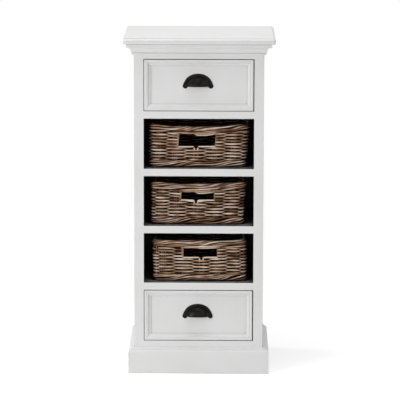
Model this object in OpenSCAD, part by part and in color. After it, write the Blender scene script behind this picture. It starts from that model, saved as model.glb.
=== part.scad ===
// Basket storage unit: a painted face-frame cabinet with a moulded cornice and
// plinth, two panelled drawers with cup pulls, and three woven baskets in open bays.
// Millimetres. X runs to the right, Y from front to back, Z up from the floor, and
// the origin is the middle of the footprint, cornice included.

/* [Case] */
// Width across the two stiles
case_w = 426; // [380:1:520]
// Depth from the face frame to the back
case_d = 363; // [340:1:440]
// Thickness of the two side panels
side_t = 16; // [12:1:20]
// Thickness of the shelves and the bottom panel
shelf_t = 18; // [12:1:24]
// Thickness of the back panel
back_t = 6; // [3:1:9]
// How far the back panel laps into each side panel
back_lap = 8; // [4:1:9]

/* [Face frame] */
// Thickness of the frame
frame_t = 20; // [16:1:24]
// Width of each upright
stile_w = 32; // [26:1:45]
// Height of the rails between two openings
rail_h = 25; // [18:1:40]
// Height of the top rail, which runs up behind the cornice
top_rail_h = 51; // [44:1:70]
// Height of bottom rail that shows above the plinth
bottom_rail_show = 22; // [10:1:40]
// Height of bottom rail that is hidden by the plinth
bottom_rail_lap = 40; // [20:1:60]

/* [Openings] */
// Height of each drawer opening
drawer_h = 171.5; // [160:0.5:220]
// Height of each basket bay
bay_h = 166; // [150:1:240]

/* [Plinth] */
// Height of the plinth
plinth_h = 86; // [70:1:120]
// Thickness of the plinth boards
plinth_t = 20; // [16:1:26]
// Radius of the rounded edge along the top of the plinth
plinth_round = 9; // [5:0.5:11]
// Height of the bevel that runs back to the frame above it
plinth_bevel = 3.5; // [2:0.5:6]
// Height of the small flat between the two
plinth_flat = 3.5; // [1:0.5:6]

/* [Top and cornice] */
// Thickness of the top board
top_t = 20; // [18:1:22]
// How far the top board overhangs the frame and the sides
top_over = 37; // [32:1:45]
// Step from the top of that board down to the bead along its edge
nose_quirk = 1.4; // [0.5:0.1:3]
// Radius of the smaller bead under that bead
nose_small_r = 2.8; // [2:0.1:3.5]
// Set-back of the smaller bead
nose_set = 1.8; // [0.5:0.1:4]
// Flat under the smaller bead
nose_fillet = 1; // [0.5:0.1:3]
// Height of the cornice moulding
cornice_h = 36.5; // [32:0.5:40]
// How far the cornice stands out from the frame
cornice_p = 25; // [22:1:28]
// Radius of the hollow in the cornice
cove_r = 10; // [7:0.5:11]
// Radius of the bead along the foot of the cornice
bead_r = 3.5; // [2:0.5:4]

/* [Drawers] */
// Gap round each drawer front
drawer_gap = 1.5; // [1:0.1:3]
// Clearance below and behind a drawer
drawer_run = 0.3; // [0.2:0.1:1]
// Clearance between a drawer and its guides
drawer_play = 0.5; // [0.3:0.1:1]
// Thickness of the flat panel of a drawer front
panel_t = 10; // [8:0.5:12]
// Width of the moulding round the panel
moulding_w = 21.5; // [18:0.5:30]
// Width of the flat along the outer edge of that moulding
moulding_flat = 6; // [4:0.5:8]
// Joint line at each mitre of that moulding
mitre_gap = 0.1; // [0.05:0.05:0.3]
// Height of the front above the top of the drawer's sides
drawer_drop = 31; // [24:1:60]
// Thickness of the drawer's sides and back
drawer_side_t = 12; // [10:1:15]
// Thickness of the drawer's bottom
drawer_bottom_t = 5; // [3:0.5:6]
// Height of the drawer's bottom above the lower edge of its sides
bottom_lift = 10; // [6:1:15]
// Depth of the grooves that hold the bottom
groove_d = 5; // [3:0.5:6]
// Lip of each guide over the top of the drawer's side
guide_lip = 10; // [6:1:12]
// Thickness of that lip
guide_lip_t = 12; // [8:1:16]
// Length of the stop block behind each side
stop_len = 12; // [8:1:20]
// Height of the stop blocks
stop_h = 30; // [15:1:60]

/* [Cup pulls] */
// Width across the two ears
pull_w = 99; // [90:1:110]
// Width of the flange round the cup
pull_flange_w = 9.5; // [8:0.5:12]
// Thickness of the flange
pull_flange_t = 2.4; // [2:0.1:3]
// How far the cup stands out from the panel
pull_depth = 24; // [20:1:28]
// Wall of the cup
pull_wall = 2.5; // [2:0.1:3.5]
// Height of the lip above the foot of the ears
pull_lip = 9; // [8:0.5:10]
// Radius of the rounded foot of each ear
ear_r = 7; // [6:0.5:8]
// Foot of the ears below the middle of the drawer
pull_drop = 12.5; // [0:0.5:30]
// Sideways place of the pulls, as the photo shows them
pull_shift = -3; // [-5:1:5]
// Distance between the two screws
screw_span = 64; // [60:1:66]
// Height of the screws above the foot of the ears
screw_up = 13; // [13:0.5:15]
// Radius of the screw shank
screw_r = 2; // [1.5:0.25:2.25]
// Clearance of the shank in the boss
screw_fit = 0.05; // [0.02:0.01:0.1]
// Clearance of the shank in the panel
screw_clear = 0.2; // [0.1:0.05:0.5]
// Radius of the screw head
head_r = 4; // [3.5:0.25:5]
// Thickness of the screw head
head_t = 2.5; // [2:0.25:4]
// Radius of the boss that takes the screw
boss_r = 3.5; // [3.25:0.25:3.75]
// Height of that boss
boss_h = 9; // [8:0.5:9.5]

/* [Baskets] */
// Set-back of the foot behind the face frame
basket_back = 24; // [16:1:40]
// Gap between the widest rim and the back panel
basket_gap = 4; // [1:0.5:20]
// Thickness of the woven wall
basket_wall = 12; // [9:0.5:14]
// Thickness of the border round the foot
foot_t = 16; // [15:0.5:20]
// Height of the border round the foot
foot_h = 24; // [20:1:30]
// Height of the border round the rim
rim_h = 26; // [22:1:27]
// Radius of the rolled edge of the rim
roll_r = 9; // [8:0.5:9.5]
// Corner radius of the foot, seen from above
corner_r = 30; // [24:1:45]
// Thickness of the woven base
base_t = 6; // [4:0.5:10]
// Height of the base above the shelf
base_lift = 6; // [2:0.5:10]
// Gap between each rim and the stiles, from the upper basket down
rim_room = [6, 19.5, 19]; // [6:0.5:40]
// Sideways place of each basket, from the upper one down
basket_shift = [-2.5, -3.5, 4]; // [-5:0.5:5]
// Lean of each basket's walls from foot to rim
basket_flare = [8, 2, 1]; // [1:0.5:10]
// Space above each basket
headroom = [20, 21, 25.5]; // [16:0.5:40]
// Width of each handle hole
hole_w = [119, 107, 110]; // [80:1:140]
// Height of each handle hole
hole_h = [42, 25, 30]; // [20:1:45]
// Top of each handle hole below the rim
hole_drop = [32.5, 36, 29]; // [28:0.5:40]
// Sideways place of each handle hole in its basket
hole_shift = [-4.5, -1, 2]; // [-10:0.5:10]
// Sideways place of the notch in the lower edge of each hole
notch_shift = [-2, -5, 3]; // [-8:0.5:8]
// Width of that notch
notch_w = 12; // [8:1:16]
// Depth of that notch
notch_d = 11; // [6:1:13]

/* [Hidden] */
$fn = 48;
eps = 0.5;

// Plan of the case
back_y = (case_d + top_over) / 2;
front_y = back_y - case_d;
frame_back_y = front_y + frame_t;
shelf_end_y = back_y - back_t;
case_x = case_w / 2;
inner_x = case_x - side_t;
open_x = case_x - stile_w;

// Levels from the floor up
floor_z = plinth_h + bottom_rail_show;
lower_z = floor_z;
pitch_z = bay_h + rail_h;
bays_z = lower_z + drawer_h + rail_h;
upper_z = bays_z + 3 * pitch_z;
top_z = upper_z + drawer_h + top_rail_h;
bay_z = [bays_z + 2 * pitch_z, bays_z + pitch_z, bays_z];
drawer_z = [upper_z, lower_z];
rail_z = [upper_z, bay_z[0], bay_z[1], bay_z[2]];

// Larger bead along the edge of the top board
nose_r = (top_t - nose_quirk - nose_fillet) / 2 - nose_small_r;

// Drawer box
front_x = open_x - drawer_gap;
panel_y = frame_back_y - panel_t;
moulding_t = frame_t - panel_t;
drawer_end_y = shelf_end_y - stop_len - drawer_run;
drawer_side_h = drawer_h - drawer_drop;

// Cup pull
pull_r = pull_w / 2;
cup_r = pull_r - pull_flange_w;
shoulder_r = cup_r - pull_depth;

// Baskets: how far in the wall stands, how far the rim reaches out, and their depth
wall_in = 2;
function rim_out(i) = basket_flare[i] - wall_in - basket_wall / 2 + roll_r;
basket_d = case_d - back_t - basket_back - basket_gap - max([for (i = [0:2]) rim_out(i)]);

// Names of the pieces that repeat
LEVELS = ["upper", "middle", "lower"];
DRAWERS = ["upper", "lower"];
DRAWER_PIECES = ["front", "moulding", "side_left", "side_right", "back", "bottom",
                 "cup_pull", "pull_screws"];
BASKET_PIECES = ["wall", "rim", "foot", "base"];

// Points of an arc about a centre, from one angle to another
function arc(cx, cy, r, from, to, steps) =
    [for (i = [0:steps]) let (a = from + (to - from) * i / steps)
        [cx + r * cos(a), cy + r * sin(a)]];

module white_paint() { color("#eeece7") children(); }
module bare_wood() { color("#d3b98d") children(); }
module rattan() { color("#8d7865") children(); }
module dark_metal() { color("#232120") children(); }

// A board between two opposite corners
module board(low, high) {
    translate(low) cube(high - low);
}

// A profile run along the front, its x standing out from the frame and its y up
module front_run(length) {
    translate([0, front_y, 0]) rotate([90, 0, -90])
        linear_extrude(height = length, center = true) children();
}

// The same profile run along the right side, from the back to past the front
module side_run(reach) {
    translate([case_x, back_y, 0]) rotate([90, 0, 0])
        linear_extrude(height = case_d + reach) children();
}

// Front length of a moulding that stands out by reach, mitred at both ends
module mitred_front(reach, low, high) {
    intersection() {
        front_run(2 * (case_x + reach)) children();
        translate([0, front_y, low - eps])
            linear_extrude(height = high - low + 2 * eps)
                polygon([[-case_x, 0], [case_x, 0],
                         [case_x + reach, -reach], [-case_x - reach, -reach]]);
    }
}

// Right return of that moulding, mitred at the front and square at the back
module mitred_side(reach, low, high) {
    intersection() {
        side_run(reach) children();
        translate([case_x, front_y, low - eps])
            linear_extrude(height = high - low + 2 * eps)
                polygon([[0, 0], [reach, -reach], [reach, case_d], [0, case_d]]);
    }
}

// Cornice section: foot bead, leaning neck, hollow, and fillet under the top board
module cornice_section() {
    neck = bead_r + 3.5;
    hollow_y = top_z - 2 - cove_r;
    polygon(concat(
        [[0, top_z], [0, top_z - cornice_h]],
        arc(bead_r, top_z - cornice_h + bead_r, bead_r, -90, 60, 5),
        [[neck, top_z - cornice_h + 2 * bead_r]],
        arc(cornice_p - 4.5, hollow_y - 10, cove_r, 180, 90, 6),
        [[cornice_p - 1.5, hollow_y - 10 + cove_r], [cornice_p, hollow_y - 8 + cove_r],
         [cornice_p, top_z]]
    ));
}

// Plinth section: square board with a rounded top edge and a bevel back to the frame
module plinth_section() {
    flat_p = plinth_t - plinth_round;
    flat_z = plinth_h - plinth_bevel - plinth_flat;
    polygon(concat(
        [[0, 0], [plinth_t, 0]],
        arc(flat_p, flat_z - plinth_round, plinth_round, 0, 90, 6),
        [[flat_p, flat_z + plinth_flat], [0, plinth_h]]
    ));
}

// Edge of the top board when its tip is at reach: flat, small bead, larger bead and quirk
function nose_edge(reach) =
    let (small_p = reach - nose_set - nose_small_r, quirk_p = reach - nose_r - 0.8)
    concat(
        [[small_p, top_z]],
        arc(small_p, top_z + nose_fillet + nose_small_r, nose_small_r, -90, 70, 6),
        arc(reach - nose_r, top_z + top_t - nose_quirk - nose_r, nose_r, -70, 90, 16),
        [[quirk_p, top_z + top_t - nose_quirk - 0.6], [quirk_p, top_z + top_t]]
    );

// Top board with that edge on the front and both ends
module top_board() {
    tip = case_x + top_over;
    edge = nose_edge(tip);
    far_edge = [for (i = [len(edge) - 1:-1:0]) [-edge[i][0], edge[i][1]]];
    white_paint() intersection() {
        rotate([90, 0, 0]) linear_extrude(height = 2 * case_d, center = true)
            polygon(concat(edge, far_edge));
        front_run(2 * tip + 2 * eps)
            polygon(concat(nose_edge(top_over),
                           [[-case_d, top_z + top_t], [-case_d, top_z]]));
    }
}

module cornice_front() {
    white_paint() mitred_front(cornice_p, top_z - cornice_h, top_z) cornice_section();
}

module cornice_right() {
    white_paint() mitred_side(cornice_p, top_z - cornice_h, top_z) cornice_section();
}

module cornice_left() {
    mirror([1, 0, 0]) cornice_right();
}

// Side panel behind the face frame, with a rebate for the back panel
module side_right() {
    white_paint() difference() {
        board([inner_x, frame_back_y, 0], [case_x, back_y, top_z]);
        board([inner_x - eps, shelf_end_y, -eps],
              [inner_x + back_lap, back_y + eps, top_z + eps]);
    }
}

module side_left() {
    mirror([1, 0, 0]) side_right();
}

module back_panel() {
    half = inner_x + back_lap;
    white_paint() board([-half, shelf_end_y, plinth_h], [half, back_y, top_z]);
}

module stile_right() {
    white_paint() board([open_x, front_y, 0], [case_x, frame_back_y, top_z]);
}

module stile_left() {
    mirror([1, 0, 0]) stile_right();
}

// Rail of the face frame between two heights
module rail(low, high) {
    white_paint() board([-open_x, front_y, low], [open_x, frame_back_y, high]);
}

// Shelf flush with the top of its rail
module shelf(top) {
    white_paint() board([-inner_x, frame_back_y, top - shelf_t],
                        [inner_x, shelf_end_y, top]);
}

module plinth_front() {
    white_paint() mitred_front(plinth_t, 0, plinth_h) plinth_section();
}

module plinth_right() {
    white_paint() mitred_side(plinth_t, 0, plinth_h) plinth_section();
}

module plinth_left() {
    mirror([1, 0, 0]) plinth_right();
}

// Board across the back, under the bottom panel
module plinth_back() {
    white_paint() board([-inner_x, shelf_end_y - side_t, 0],
                        [inner_x, shelf_end_y, floor_z - shelf_t]);
}

// Pair of guides: each fills the space behind a stile and laps over the drawer's side
module guides(low) {
    edge = front_x + drawer_play;
    over = drawer_run + drawer_side_h + drawer_play;
    bare_wood() for (s = [0, 1]) mirror([s, 0, 0])
        translate([0, shelf_end_y, low]) rotate([90, 0, 0])
            linear_extrude(height = shelf_end_y - frame_back_y)
                polygon([[edge, 0], [inner_x, 0], [inner_x, over + guide_lip_t],
                         [edge - guide_lip, over + guide_lip_t],
                         [edge - guide_lip, over], [edge, over]]);
}

// Pair of blocks on the shelf that stop the drawer's sides
module stops(low) {
    bare_wood() for (s = [0, 1]) mirror([s, 0, 0])
        board([front_x - drawer_side_t, shelf_end_y - stop_len, low],
              [front_x, shelf_end_y, low + stop_h]);
}

// Groove that takes the drawer's bottom, open towards the inside
module bottom_groove(low) {
    half = front_x - drawer_side_t + groove_d;
    board([-half, frame_back_y - groove_d, low + drawer_run + bottom_lift],
          [half, drawer_end_y + eps, low + drawer_run + bottom_lift + drawer_bottom_t]);
}

// Height of the pull's centre line, the foot of its ears
function pull_z(low) = low + drawer_h / 2 - pull_drop;

// Something placed at each of the two screws of a pull, facing out of the panel
module at_screws(low) {
    for (s = [-1, 1])
        translate([pull_shift + s * screw_span / 2, panel_y, pull_z(low) + screw_up])
            rotate([90, 0, 0]) children();
}

module drawer_front(low) {
    white_paint() difference() {
        board([-front_x, panel_y, low + drawer_gap],
              [front_x, frame_back_y, low + drawer_h - drawer_gap]);
        bottom_groove(low);
        at_screws(low) translate([0, 0, -panel_t - eps])
            cylinder(r = screw_r + screw_clear, h = panel_t + 2 * eps);
    }
}

// Moulding section: x runs in from the drawer's edge, y is 0 at the face of the frame
module moulding_section() {
    quirk = moulding_flat + 1;
    bead = 2;
    ogee_w = moulding_w - quirk - 2 * bead;
    polygon(concat(
        [[0, -moulding_t], [0, 0], [moulding_flat, 0], [moulding_flat + 0.5, -1.2]],
        arc(quirk + bead, -2.2, bead, 150, 10, 5),
        [for (i = [1:8]) let (t = i / 8)
            [quirk + 2 * bead + ogee_w * t,
             -2.4 - (moulding_t - 4) * (1 - cos(180 * t)) / 2]],
        [[moulding_w, -moulding_t]]
    ));
}

// Four lengths of moulding mitred round the front, with a joint line at each mitre
module drawer_moulding(low) {
    half_z = drawer_h / 2 - drawer_gap;
    cut = mitre_gap / sqrt(2);
    white_paint() translate([0, front_y, low + drawer_h / 2])
        for (k = [0:3]) {
            half_run = k % 2 == 0 ? front_x : half_z;
            half_off = k % 2 == 0 ? half_z : front_x;
            rotate([0, 90 * k, 0]) translate([0, 0, -half_off]) intersection() {
                rotate([180, -90, 0])
                    linear_extrude(height = 2 * half_run, center = true)
                        moulding_section();
                translate([0, moulding_t + eps, 0]) rotate([90, 0, 0])
                    linear_extrude(height = moulding_t + 2 * eps)
                        polygon([[cut - half_run, 0], [half_run - cut, 0],
                                 [half_run - cut - moulding_w, moulding_w],
                                 [cut - half_run + moulding_w, moulding_w]]);
            }
        }
}

module drawer_side(low) {
    bare_wood() difference() {
        board([front_x - drawer_side_t, frame_back_y, low + drawer_run],
              [front_x, drawer_end_y, low + drawer_run + drawer_side_h]);
        bottom_groove(low);
    }
}

module drawer_back(low) {
    half = front_x - drawer_side_t;
    foot = low + drawer_run + bottom_lift + drawer_bottom_t;
    bare_wood() board([-half, drawer_end_y - drawer_side_t, foot],
                      [half, drawer_end_y, low + drawer_run + drawer_side_h]);
}

module drawer_bottom(low) {
    half = front_x - drawer_side_t + groove_d;
    foot = low + drawer_run + bottom_lift;
    bare_wood() board([-half, frame_back_y - groove_d, foot],
                      [half, drawer_end_y, foot + drawer_bottom_t]);
}

// Half section of the cup, grown or shrunk by its wall
module cup_section(depth) {
    square([shoulder_r, depth]);
    intersection() {
        translate([shoulder_r, 0]) circle(depth);
        square([cup_r, depth]);
    }
}

// Cup pull: half a turned cup closed at the top and open below its lip, on a flange
// whose two ends hang down as round ears, with a boss for each screw
module cup_pull(low) {
    dark_metal()
        translate([pull_shift, panel_y, pull_z(low)]) rotate([90, 0, 0]) difference() {
            union() {
                intersection() {
                    rotate_extrude() difference() {
                        cup_section(pull_depth);
                        cup_section(pull_depth - pull_wall);
                    }
                    translate([-pull_r, pull_lip, 0]) cube([pull_w, pull_r, pull_depth]);
                }
                linear_extrude(height = pull_flange_t) {
                    difference() {
                        circle(pull_r);
                        circle(cup_r - pull_wall);
                        translate([-pull_r, ear_r - pull_w])
                            square([pull_w, pull_w]);
                    }
                    for (s = [-1, 1])
                        translate([s * (pull_r - ear_r), ear_r]) circle(ear_r);
                }
                for (s = [-1, 1])
                    translate([s * screw_span / 2, screw_up, 0])
                        cylinder(r = boss_r, h = boss_h);
            }
            for (s = [-1, 1])
                translate([s * screw_span / 2, screw_up, -eps])
                    cylinder(r = screw_r + screw_fit, h = boss_h - 2 + eps);
        }
}

// Two screws, driven from inside the drawer into the bosses of the pull
module pull_screws(low) {
    dark_metal() at_screws(low) {
        translate([0, 0, -panel_t]) cylinder(r = screw_r, h = panel_t + boss_h - 3);
        translate([0, 0, -panel_t - head_t]) cylinder(r = head_r, h = head_t);
    }
}

// Outer half width of each basket's foot
function foot_x(i) = open_x - rim_room[i] - rim_out(i);

function basket_h(i) = bay_h - headroom[i];

// Carries what is drawn about a basket's middle to its place in the case
module in_bay(i) {
    translate([basket_shift[i], front_y + basket_back + basket_d / 2, bay_z[i]])
        children();
}

// Sweeps a section round the basket: its x runs out from the foot's outline, its y up
module round_basket(i) {
    w = 2 * foot_x(i);
    for (k = [0:3]) {
        run = k % 2 == 0 ? w : basket_d;
        off = k % 2 == 0 ? basket_d : w;
        rotate([0, 0, 90 * k]) translate([0, -off / 2, 0]) rotate([90, 0, -90])
            linear_extrude(height = run - 2 * corner_r, center = true) children();
        rotate([0, 0, 90 * k])
            translate([run / 2 - corner_r, off / 2 - corner_r, 0])
                rotate_extrude(angle = 90) translate([corner_r, 0]) children();
    }
}

// Leaning woven wall, with the handle hole and its notch cut through the front
module basket_wall(i) {
    low = foot_h;
    high = basket_h(i) - rim_h;
    hole_top = basket_h(i) - hole_drop[i];
    hole_foot = hole_top - hole_h[i];
    x0 = hole_shift[i] - hole_w[i] / 2;
    notch_x = hole_shift[i] + notch_shift[i];
    rattan() in_bay(i) difference() {
        round_basket(i)
            polygon([[-wall_in - basket_wall, low], [-wall_in, low],
                     [-wall_in + basket_flare[i], high],
                     [-wall_in - basket_wall + basket_flare[i], high]]);
        translate([0, -basket_d / 2 + foot_t + corner_r / 2, 0]) rotate([90, 0, 0])
            linear_extrude(height = foot_t + corner_r / 2 + basket_flare[i] + eps)
                polygon([[x0, hole_top], [x0, hole_foot],
                         [notch_x - notch_w / 2, hole_foot],
                         [notch_x, hole_foot - notch_d],
                         [notch_x + notch_w / 2, hole_foot],
                         [x0 + hole_w[i], hole_foot], [x0 + hole_w[i], hole_top]]);
    }
}

// Border of the rim: a flat band with a rolled edge on top
module basket_rim(i) {
    low = basket_h(i) - rim_h;
    middle = basket_flare[i] - wall_in - basket_wall / 2;
    rattan() in_bay(i) round_basket(i)
        polygon(concat(
            [[middle - basket_wall / 2, low], [middle + basket_wall / 2, low]],
            arc(middle, basket_h(i) - roll_r, roll_r, -45, 225, 12)
        ));
}

// Border of the foot, rounded on the outside, flat where it rests on the shelf
module basket_foot(i) {
    bulge = 6;
    rattan() in_bay(i) round_basket(i)
        polygon(concat(
            [[-foot_t, 0]],
            arc(-bulge, bulge, bulge, -90, 0, 4),
            arc(-bulge, foot_h - bulge, bulge, 0, 90, 4),
            [[-foot_t, foot_h]]
        ));
}

// Base inside the border of the foot
module basket_base(i) {
    half_x = foot_x(i) - foot_t;
    half_y = basket_d / 2 - foot_t;
    r = corner_r - foot_t;
    rattan() in_bay(i) translate([0, 0, base_lift]) linear_extrude(height = base_t) {
        square([2 * half_x, 2 * (half_y - r)], center = true);
        square([2 * (half_x - r), 2 * half_y], center = true);
        for (sx = [-1, 1]) for (sy = [-1, 1])
            translate([sx * (half_x - r), sy * (half_y - r)]) circle(r);
    }
}

top_board();
cornice_front();
cornice_left();
cornice_right();
side_left();
side_right();
back_panel();
stile_left();
stile_right();
rail(upper_z + drawer_h, top_z);  // rail_top
for (k = [1:4])
    rail(rail_z[k - 1] - rail_h, rail_z[k - 1]);
rail(plinth_h - bottom_rail_lap, floor_z);  // rail_bottom
shelf(upper_z);  // drawer_shelf
for (k = [1:3])
    shelf(bay_z[k - 1]);
shelf(floor_z);  // bottom_panel
plinth_front();
plinth_left();
plinth_right();
plinth_back();
for (d = [0, 1]) {
    guides(drawer_z[d]);
    stops(drawer_z[d]);
}
for (d = [0, 1]) {
    name = str("drawer_", DRAWERS[d], "_");
    low = drawer_z[d];
    drawer_front(low);
    drawer_moulding(low);
    mirror([1, 0, 0]) drawer_side(low);
    drawer_side(low);
    drawer_back(low);
    drawer_bottom(low);
    cup_pull(low);
    pull_screws(low);
}
for (i = [0:2]) {
    name = str("basket_", LEVELS[i], "_");
    basket_wall(i);
    basket_rim(i);
    basket_foot(i);
    basket_base(i);
}
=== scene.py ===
"""Basket storage unit: the looks of a white painted face-frame cabinet with two panelled
drawers, cast cup pulls and three woven baskets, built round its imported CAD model."""

import math

import bmesh
import bpy
import numpy as np
from bpy.props import FloatProperty, FloatVectorProperty, IntProperty, PointerProperty
from mathutils import Matrix, Vector


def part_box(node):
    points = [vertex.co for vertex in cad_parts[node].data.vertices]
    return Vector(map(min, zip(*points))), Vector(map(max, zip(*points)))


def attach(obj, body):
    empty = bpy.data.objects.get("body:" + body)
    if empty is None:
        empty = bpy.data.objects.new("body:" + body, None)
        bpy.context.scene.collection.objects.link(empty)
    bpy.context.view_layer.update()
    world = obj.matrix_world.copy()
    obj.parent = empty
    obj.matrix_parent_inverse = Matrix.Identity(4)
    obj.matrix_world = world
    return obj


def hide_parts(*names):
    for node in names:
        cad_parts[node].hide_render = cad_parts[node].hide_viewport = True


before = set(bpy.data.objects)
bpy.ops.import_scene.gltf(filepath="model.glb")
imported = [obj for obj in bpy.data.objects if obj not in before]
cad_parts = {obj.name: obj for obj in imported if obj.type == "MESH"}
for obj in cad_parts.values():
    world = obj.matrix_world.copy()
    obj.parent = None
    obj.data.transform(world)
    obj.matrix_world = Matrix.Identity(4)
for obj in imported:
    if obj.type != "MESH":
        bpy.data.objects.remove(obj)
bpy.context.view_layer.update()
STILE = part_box("stile_right")[0]

bl_info = {
    "name": "Basket Storage Unit",
    "version": (1, 0, 0),
    "blender": (4, 5, 0),
    "location": "View3D > Sidebar > Basket Unit",
    "description": "Painted cabinet with panelled drawers, cup pulls and woven baskets",
    "category": "Add Mesh",
}

MM = 0.001
LEVELS = ("upper", "middle", "lower")
DRAWERS = ("upper", "lower")
CASE_BOARDS = ("side_left", "side_right", "back_panel", "drawer_shelf", "shelf_1", "shelf_2",
               "shelf_3", "bottom_panel", "plinth_back")
FRAME_BOARDS = ("stile_left", "stile_right", "rail_top", "rail_1", "rail_2", "rail_3", "rail_4",
                "rail_bottom")
BARE_BOARDS = ("guides_upper", "guides_lower", "stops_upper", "stops_lower")
DRAWER_BOARDS = ("side_left", "side_right", "back", "bottom")
UPWARD = (0.0, 0.0, 1.0)
WHITE = (1.0, 1.0, 1.0, 1.0)

# Edges sharper than this many degrees stay sharp on boards, mouldings and castings
BOARD_ARRIS, MOULDING_ARRIS, CAST_ARRIS = 40, 24, 50

# Place and size of each square light, in metres
SOFTBOXES = {"key": ((-3.3, -3.6, 1.3), 2.0), "side": ((-3.6, 0.9, 1.8), 1.5),
             "top": ((0, -0.6, 3.9), 2.0)}


# Settings

def length(name, description, mm):
    """A property for a length, written in millimetres and held in metres."""
    return FloatProperty(name=name, description=description, default=mm * MM, min=0,
                         precision=4, unit="LENGTH")


def lengths(name, description, mm):
    """A property for several lengths, in order from the top down or the left."""
    return FloatVectorProperty(name=name, description=description, size=len(mm),
                               precision=4, default=[v * MM for v in mm], unit="LENGTH")


def linear(hex_colour):
    """An sRGB hex colour as the linear RGBA that Blender works in."""
    rgb = np.array([int(hex_colour[i:i + 2], 16) for i in (1, 3, 5)]) / 255
    low = rgb / 12.92
    high = ((rgb + 0.055) / 1.055) ** 2.4
    return (*np.where(rgb <= 0.04045, low, high), 1.0)


def colour(name, description, hex_colour):
    """A property for a surface colour, written as sRGB hex."""
    return FloatVectorProperty(name=name, description=description, size=4, min=0, max=1,
                               default=linear(hex_colour), subtype="COLOR")


def watts(name, description, power):
    """A property for the power of a light."""
    return FloatProperty(name=name, description=description, default=power, unit="POWER")


class PaintSettings(bpy.types.PropertyGroup):
    colour: colour("Paint", "Satin white paint", "#eaeaea")
    shade: colour("Paint, thin", "The same paint where the coat is thinner", "#e7e7e6")
    # Painted shade in the joints: the dark grey that the paint turns where ambient occlusion
    # finds a narrow gap. It also stands for dirt settled there
    dust: colour("Dust", "Dust deep in the joints", "#3b3733")
    # Painted shade: the near black that the paint turns deep inside the bays, within the bay
    # reach
    gloom: colour("Gloom", "Shade deep inside the open bays", "#14110f")
    joint: length("Joint reach", "How wide a gap the dust fills", 6)
    bay: length("Bay reach", "How wide a gap inside the case lies in shade", 90)
    ease: length("Eased edge", "Radius of the sanded edges of the boards", 0.9)
    brush: length("Brush mark", "Width of one brush mark", 1.6)
    stipple: length("Stipple", "Size of the dimples that the roller leaves", 0.9)


class TrimSettings(bpy.types.PropertyGroup):
    nose_quirk: length("Edge quirk", "Step from the top down to the larger bead", 1.4)
    nose_small: length("Small bead", "Radius of the bead under the larger one", 2.8)
    nose_set: length("Small bead set-back", "Set-back of that bead", 0.9)
    nose_fillet: length("Edge flat", "Flat under the small bead", 1)
    top_corner: length("Top corner", "Corner radius of the top board from above", 7.5)
    cove_radius: length("Cove radius", "Hollow of the cornice", 10)
    cove_quirk: length("Cornice chamfer", "Chamfer under the top board", 1.6)
    bead_radius: length("Bead radius", "Bead along the foot of the cornice", 3.5)
    plinth_round: length("Plinth round", "Rounded edge along the top of the plinth", 9)
    plinth_bevel: length("Plinth bevel", "Bevel back to the frame", 3.5)
    plinth_flat: length("Plinth flat", "Small flat under that bevel", 3.5)
    moulding_width: length("Moulding width", "Moulding round a drawer panel", 21.5)
    moulding_flat: length("Moulding flat", "Flat along the edge of that moulding", 5.6)
    moulding_fall: length("Moulding fall", "Fall of its face from that flat to the bead", 1.7)
    moulding_bead: length("Moulding bead", "Radius of the bead inside that flat", 1.6)
    moulding_step: length("Moulding step", "Step from its inner edge down to the panel", 2.4)
    moulding_edge: length("Moulding edge", "Rounded outer edge of that moulding", 1.3)
    planed: length("Planed edge", "Planed off its right edge so that the drawer runs free", 1.3)
    planed_top: length("Planed top", "Planed off its top edge", 0.5)
    mitre_gap: length("Mitre gap", "Joint line at each mitre", 0.1)


class PullSettings(bpy.types.PropertyGroup):
    metal: colour("Metal", "Dark patina of the cast pulls", "#0b0a09")
    rubbed: colour("Rubbed metal", "Brown bloom where hands rub the patina", "#2d2926")
    flange_width: length("Flange width", "Flat ring round the cup", 9.5)
    flange_thickness: length("Flange thickness", "Thickness of that ring", 2.2)
    wall: length("Wall", "Thickness of the cup", 2.5)
    lip: length("Lip", "Height of the lip above the foot of the ears", 9)
    ear_radius: length("Ear radius", "Rounded foot of each ear", 8.5)
    ear_out: length("Ear reach", "How far each ear stands out past the ring", 1.6)
    shoulder: length("Shoulder", "How much fuller the ring is halfway up each side", 1.3)
    rope_pitch: length("Rope pitch", "Length of one twist of the cast rope edge", 6.6)
    rope_relief: length("Rope relief", "Height of that rope edge", 0.9)
    screw_span: length("Screw span", "Distance between the two bosses", 64)
    screw_height: length("Screw height", "Bosses above the foot of the ears", 13)
    boss_radius: length("Boss radius", "Radius of each boss", 3.5)
    boss_height: length("Boss height", "Height of each boss", 9)


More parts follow.
